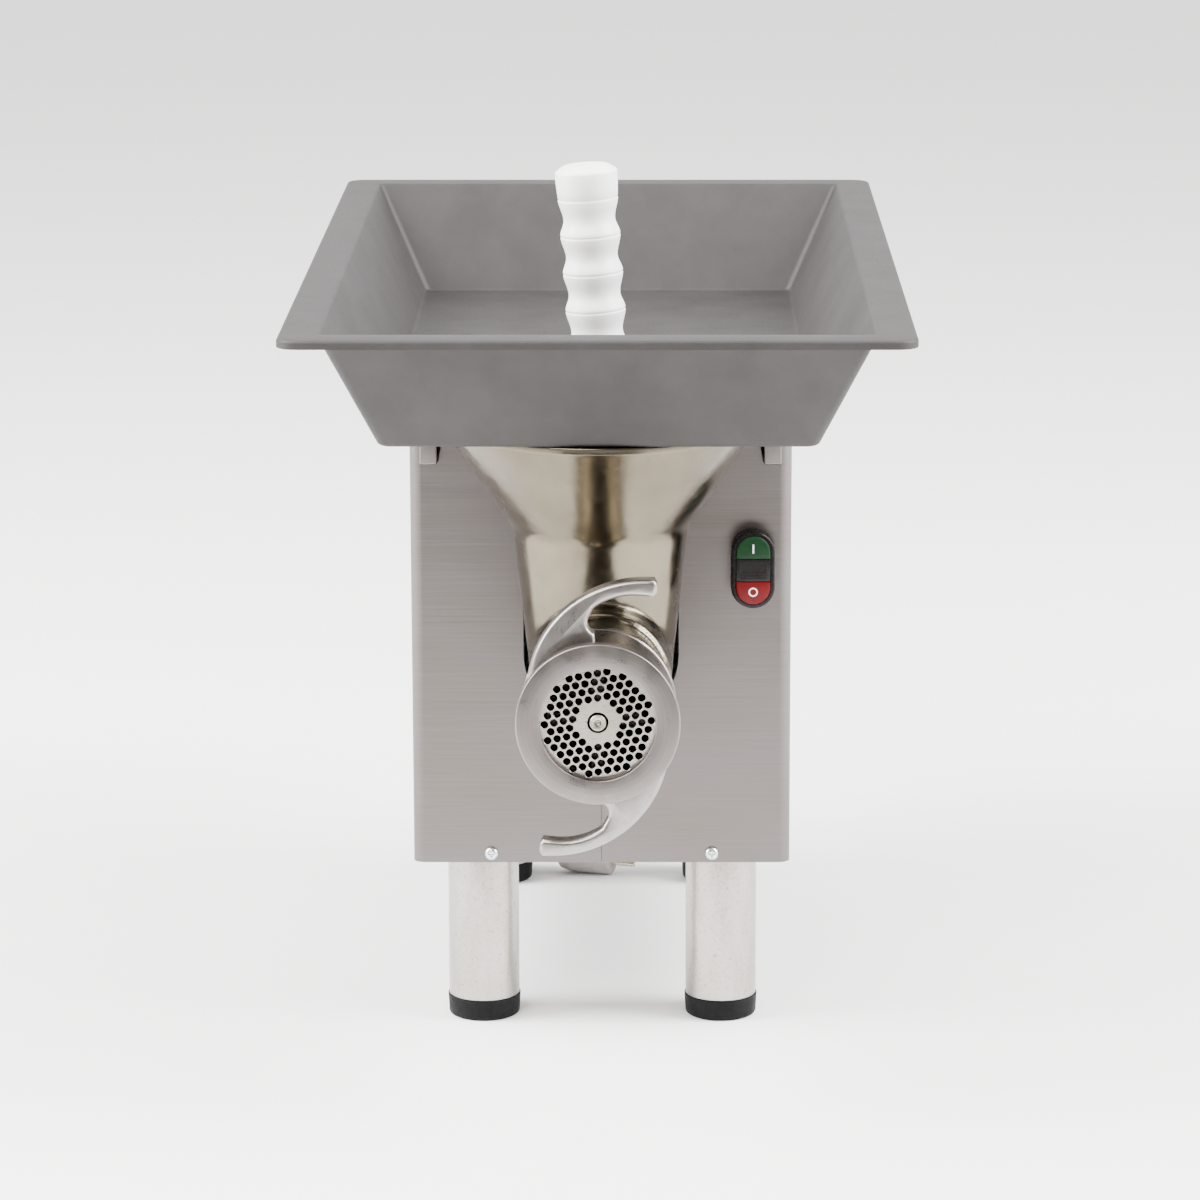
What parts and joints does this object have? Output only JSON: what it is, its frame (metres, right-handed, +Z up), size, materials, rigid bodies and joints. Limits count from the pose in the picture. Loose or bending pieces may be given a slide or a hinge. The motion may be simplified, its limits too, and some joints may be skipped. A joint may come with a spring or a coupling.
{
  "type": "electric meat grinder",
  "caption": "Bench-top electric meat grinder: brushed cabinet on tube legs, cast grinding head with ring, plate and auger, wide feed tray, stomper, start/stop switch and mains lead.",
  "frame": {"origin": "on the floor under the middle of the machine, its cord left out", "axes": "+X to the operator's right, +Y from the grinding head to the back, +Z up"},
  "size_m": [0.424, 0.802, 0.6242],
  "materials": {
    "brushed_panel": "stainless sheet with a horizontal brushed grain",
    "screw_steel": "zinc-plated pan-head screw",
    "leg_tube": "mottled galvanised tube",
    "foot_rubber": "matt black rubber",
    "tray_sheet": "matt grey stainless sheet",
    "polished_casting": "polished stainless casting",
    "machined_steel": "ground and machined steel",
    "painted_iron": "grey painted casting",
    "winding": "varnished copper winding on a steel core",
    "black_plastic": "black moulded plastic",
    "cord_rubber": "black rubber sheath",
    "start_green": "green button cap",
    "stop_red": "red button cap",
    "white_plastic": "white polyethylene",
    "plug_rubber": "grey moulded plug"
  },
  "bodies": {
    "machine": {"base_plate": "brushed_panel", "left_side_panel": "brushed_panel", "right_side_panel": "brushed_panel", "rear_panel": "brushed_panel", "top_panel": "brushed_panel", "front_panel_left": "brushed_panel", "front_panel_right": "brushed_panel", "panel_screw_left": "screw_steel", "panel_screw_right": "screw_steel", "leg_front_left": "leg_tube", "leg_front_right": "leg_tube", "leg_rear_left": "leg_tube", "leg_rear_right": "leg_tube", "foot_front_left": "foot_rubber", "foot_front_right": "foot_rubber", "foot_rear_left": "foot_rubber", "foot_rear_right": "foot_rubber", "grinder_head": "polished_casting", "cutting_plate": "machined_steel", "gearbox_housing": "painted_iron", "gearbox_cover": "painted_iron", "spindle_bearing_front": "machined_steel", "spindle_bearing_rear": "machined_steel", "lay_bearing_front": "machined_steel", "lay_bearing_rear": "machined_steel", "motor_casing": "painted_iron", "stator": "winding", "motor_end_shield": "painted_iron", "motor_bearing_front": "machined_steel", "motor_bearing_rear": "machined_steel", "fan_cover": "brushed_panel", "motor_cradle": "machined_steel", "run_capacitor": "black_plastic", "switch_bezel": "black_plastic", "switch_lens": "black_plastic", "switch_contact_block": "black_plastic", "cord_gland": "black_plastic", "power_cord_supply": "cord_rubber", "cord_coil": "cord_rubber", "power_cord_end": "cord_rubber", "mains_plug": "plug_rubber"},
    "tray": {"feed_tray": "tray_sheet", "tray_bracket_left": "brushed_panel", "tray_bracket_right": "brushed_panel"},
    "stomper": {"stomper": "white_plastic"},
    "ring": {"ring_nut": "polished_casting"},
    "start_button": {"start_button": "start_green"},
    "stop_button": {"stop_button": "stop_red"},
    "rotor": {"motor_shaft": "machined_steel", "rotor_core": "machined_steel", "cooling_fan": "black_plastic"},
    "lay": {"lay_shaft": "machined_steel", "lay_gear": "machined_steel"},
    "spindle": {"output_gear": "machined_steel", "output_spindle": "machined_steel", "auger": "polished_casting", "knife": "machined_steel"}
  },
  "joints": [
    {"name": "tray_lift", "type": "slide", "parent": "machine", "child": "tray", "axis": [0, 0, 1], "range_m": [0, 0.12]},
    {"name": "stomper_slide", "type": "slide", "parent": "machine", "child": "stomper", "axis": [-0.0663, 0, 0.9978], "range_m": [0, 0.3]},
    {"name": "ring_unscrew", "type": "hinge", "parent": "machine", "child": "ring", "pos_m": [0, -0.401, 0.275], "axis": [0, -1, 0], "range_deg": [0, 720]},
    {"name": "start_press", "type": "slide", "parent": "machine", "child": "start_button", "axis": [0, 1, 0], "range_m": [0, 0.003], "stiffness_N_per_m": 400},
    {"name": "stop_press", "type": "slide", "parent": "machine", "child": "stop_button", "axis": [0, 1, 0], "range_m": [0, 0.003], "stiffness_N_per_m": 400},
    {"name": "motor_spin", "type": "hinge", "parent": "machine", "child": "rotor", "pos_m": [0, 0, 0.275], "axis": [0, 1, 0], "continuous": true},
    {"name": "lay_spin", "type": "hinge", "parent": "machine", "child": "lay", "pos_m": [0, 0, 0.215], "axis": [0, 1, 0], "continuous": true},
    {"name": "spindle_spin", "type": "hinge", "parent": "machine", "child": "spindle", "pos_m": [0, 0, 0.275], "axis": [0, 1, 0], "continuous": true}
  ],
  "couplings": [
    {"joint": "lay_spin", "follows": "motor_spin", "ratio": -0.33333},
    {"joint": "spindle_spin", "follows": "motor_spin", "ratio": 0.11111}
  ]
}
